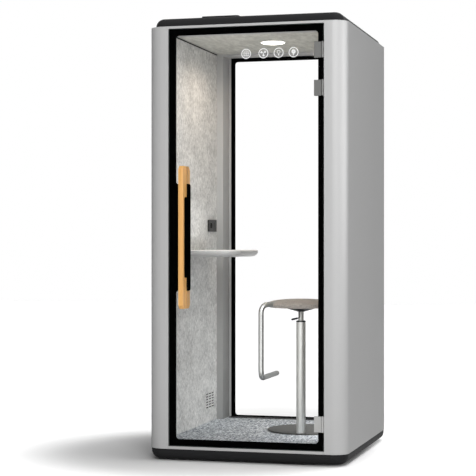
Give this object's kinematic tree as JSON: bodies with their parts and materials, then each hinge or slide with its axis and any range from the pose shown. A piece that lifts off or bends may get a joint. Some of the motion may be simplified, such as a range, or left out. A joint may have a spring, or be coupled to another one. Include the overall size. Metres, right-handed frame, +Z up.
{
  "type": "acoustic office pod",
  "caption": "One-person acoustic booth with a hinged glass door, glass back, felt-lined silver walls, black base and roof, a wall table and a height-adjustable stool with footrest.",
  "frame": {"origin": "middle of the whole footprint, door handle included, on the floor that the pod stands on", "axes": "+Z up, -Y out through the door, +X towards the door's hinges"},
  "size_m": [1.052, 1.233, 2.32],
  "materials": {
    "silver_paint": "satin",
    "black_base": "matte",
    "rubber": "matte",
    "plywood": "matte",
    "carpet": "matte",
    "wall_felt": "matte",
    "ceiling_felt": "matte",
    "wall_core": "matte",
    "glass": "gloss",
    "oak": "satin",
    "satin_steel": "satin",
    "black_plastic": "satin",
    "black_steel": "satin",
    "bronze_paint": "satin",
    "laminate": "satin",
    "dark_plastic": "satin",
    "seat_fabric": "matte",
    "opal": "matte",
    "white_paint": "satin"
  },
  "bodies": {
    "pod": {"base_plinth": "black_base", "leveling_foot_front_left": "rubber", "leveling_foot_front_right": "rubber", "leveling_foot_rear_left": "rubber", "leveling_foot_rear_right": "rubber", "floor_deck": "plywood", "carpet": "carpet", "corner_post_front_left": "silver_paint", "corner_post_front_right": "silver_paint", "corner_post_rear_left": "silver_paint", "corner_post_rear_right": "silver_paint", "side_panel_left": "silver_paint", "side_panel_right": "silver_paint", "wall_core_left": "wall_core", "wall_core_right": "wall_core", "felt_panel_left": "wall_felt", "felt_panel_right": "wall_felt", "front_header": "silver_paint", "rear_header": "silver_paint", "front_sill": "silver_paint", "rear_sill": "silver_paint", "roof_deck": "plywood", "ceiling_panel": "ceiling_felt", "roof_cap": "black_base", "vent_hood": "black_base", "light_bezel": "white_paint", "light_diffuser": "opal", "fan_frame": "black_plastic", "rear_glass": "glass", "door_seal": "rubber", "hinge_leaf_top": "satin_steel", "hinge_leaf_middle": "satin_steel", "hinge_leaf_bottom": "satin_steel", "hinge_pin_top": "satin_steel", "hinge_pin_middle": "satin_steel", "hinge_pin_bottom": "satin_steel", "power_box": "dark_plastic", "table_top": "laminate", "table_support": "black_steel", "stool_base_plate": "bronze_paint", "stool_column": "satin_steel", "stool_collar": "black_plastic"},
    "door": {"door_glass": "glass", "handle_outer": "oak", "handle_inner": "oak", "handle_bolt_lower": "satin_steel", "handle_bolt_upper": "satin_steel", "hinge_outer_plate_top": "satin_steel", "hinge_outer_plate_middle": "satin_steel", "hinge_outer_plate_bottom": "satin_steel", "hinge_inner_plate_top": "satin_steel", "hinge_inner_plate_middle": "satin_steel", "hinge_inner_plate_bottom": "satin_steel"},
    "fan": {"fan_rotor": "black_plastic"},
    "switch": {"light_switch": "dark_plastic"},
    "seat_post": {"lift_rod": "satin_steel"},
    "seat": {"seat_carrier": "black_plastic", "seat_pad": "seat_fabric", "footrest": "satin_steel"},
    "lever": {"lift_lever": "black_steel"}
  },
  "joints": [
    {"name": "door_swing", "type": "hinge", "parent": "pod", "child": "door", "pos_m": [0.4055, -0.5653, 1.157], "axis": [0, 0, 1], "range_deg": [0, 110]},
    {"name": "fan_spin", "type": "hinge", "parent": "pod", "child": "fan", "pos_m": [-0.178, -0.3095, 2.262], "axis": [0, 0, 1], "continuous": true},
    {"name": "switch_rock", "type": "hinge", "parent": "pod", "child": "switch", "pos_m": [-0.44, 0.3955, 1.23], "axis": [0, -1, 0], "range_deg": [0, 8]},
    {"name": "seat_lift", "type": "slide", "parent": "pod", "child": "seat_post", "axis": [0, 0, 1], "range_m": [0, 0.12]},
    {"name": "seat_swivel", "type": "hinge", "parent": "seat_post", "child": "seat", "pos_m": [0.1905, -0.1145, 0.77], "axis": [0, 0, 1], "continuous": true},
    {"name": "lever_pull", "type": "hinge", "parent": "seat", "child": "lever", "pos_m": [0.1875, -0.1405, 0.7797], "axis": [0, 1, 0], "range_deg": [0, 8], "stiffness_Nm_per_rad": 0.5}
  ]
}
